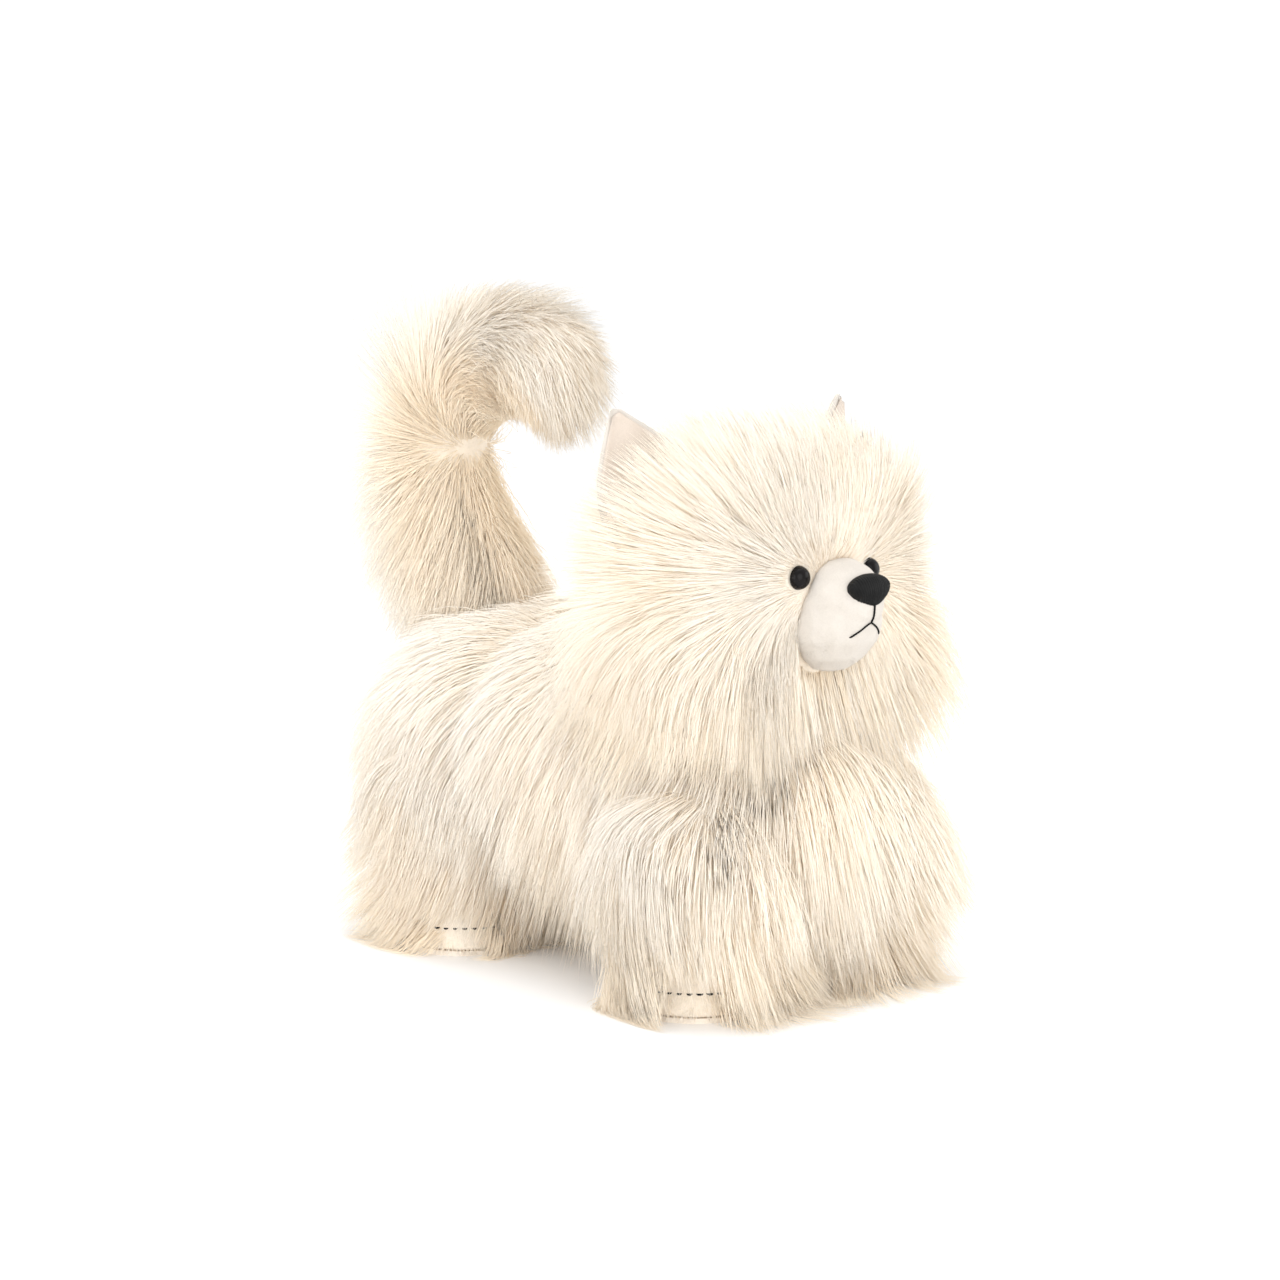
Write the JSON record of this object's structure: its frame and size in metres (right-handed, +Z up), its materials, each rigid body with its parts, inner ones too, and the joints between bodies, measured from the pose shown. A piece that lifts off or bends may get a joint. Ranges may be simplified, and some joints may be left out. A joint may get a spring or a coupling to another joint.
{
  "type": "plush dog",
  "caption": "Standing long-pile plush dog with short-pile muzzle, embroidered nose, bead eyes, pointed ears and a tail curled over the back; soft neck, ears and tail root flex.",
  "frame": {"origin": "On the floor, in the middle of the box round the toy", "axes": "+Z up, the dog looks along -Y, its left side is +X"},
  "size_m": [0.1674, 0.3211, 0.3031],
  "materials": {
    "ivory_pile": "matte",
    "cream_velour": "matte",
    "beige_velour": "matte",
    "fibre_filling": "matte",
    "pellet_cotton": "matte",
    "black_thread": "matte",
    "black_eye_plastic": "gloss",
    "white_plastic": "matte",
    "insole_board": "matte"
  },
  "bodies": {
    "torso": {"torso_side_right": "ivory_pile", "torso_side_left": "ivory_pile", "belly_gusset": "ivory_pile", "torso_stuffing": "fibre_filling", "pellet_bag": "pellet_cotton", "leg_cover_front_right": "ivory_pile", "leg_stuffing_front_right": "fibre_filling", "sole_front_right": "cream_velour", "insole_front_right": "insole_board", "toe_stitching_front_right": "black_thread", "leg_cover_front_left": "ivory_pile", "leg_stuffing_front_left": "fibre_filling", "sole_front_left": "cream_velour", "insole_front_left": "insole_board", "toe_stitching_front_left": "black_thread", "leg_cover_rear_right": "ivory_pile", "leg_stuffing_rear_right": "fibre_filling", "sole_rear_right": "cream_velour", "insole_rear_right": "insole_board", "toe_stitching_rear_right": "black_thread", "leg_cover_rear_left": "ivory_pile", "leg_stuffing_rear_left": "fibre_filling", "sole_rear_left": "cream_velour", "insole_rear_left": "insole_board", "toe_stitching_rear_left": "black_thread"},
    "neck": {"neck_plug": "fibre_filling"},
    "head": {"head_side_right": "ivory_pile", "head_side_left": "ivory_pile", "head_strip": "ivory_pile", "head_stuffing": "fibre_filling", "muzzle_cover": "cream_velour", "muzzle_stuffing": "fibre_filling", "nose": "black_thread", "mouth_stitching": "black_thread", "eye_right": "black_eye_plastic", "eye_left": "black_eye_plastic", "eye_washer_right": "white_plastic", "eye_washer_left": "white_plastic"},
    "ear_right": {"ear_back_right": "cream_velour", "ear_lining_right": "beige_velour"},
    "ear_left": {"ear_back_left": "cream_velour", "ear_lining_left": "beige_velour"},
    "tail_root": {"tail_plug": "fibre_filling"},
    "tail": {"tail_cover": "ivory_pile", "tail_stuffing": "fibre_filling", "tail_core": "white_plastic"}
  },
  "joints": [
    {"name": "head_turn", "type": "hinge", "parent": "torso", "child": "neck", "pos_m": [0, -0.07235, 0.134], "axis": [0, 0, 1], "range_deg": [-30, 30], "stiffness_Nm_per_rad": 1.2},
    {"name": "head_nod", "type": "hinge", "parent": "neck", "child": "head", "pos_m": [0, -0.07235, 0.134], "axis": [1, 0, 0], "range_deg": [-10, 12], "stiffness_Nm_per_rad": 2.5},
    {"name": "ear_right_flex", "type": "hinge", "parent": "head", "child": "ear_right", "pos_m": [-0.068, -0.06935, 0.205], "axis": [0.7173, -0.3324, 0.6123], "range_deg": [-25, 30], "stiffness_Nm_per_rad": 0.02},
    {"name": "ear_left_flex", "type": "hinge", "parent": "head", "child": "ear_left", "pos_m": [0.068, -0.06935, 0.205], "axis": [0.7173, 0.3324, -0.6123], "range_deg": [-25, 30], "stiffness_Nm_per_rad": 0.02},
    {"name": "tail_lift", "type": "hinge", "parent": "torso", "child": "tail_root", "pos_m": [0, 0.10165, 0.156], "axis": [1, 0, 0], "range_deg": [-18, 6], "stiffness_Nm_per_rad": 1.2},
    {"name": "tail_wag", "type": "hinge", "parent": "tail_root", "child": "tail", "pos_m": [0, 0.10165, 0.156], "axis": [0, 0.8, -0.6], "range_deg": [-25, 25], "stiffness_Nm_per_rad": 1.2}
  ]
}
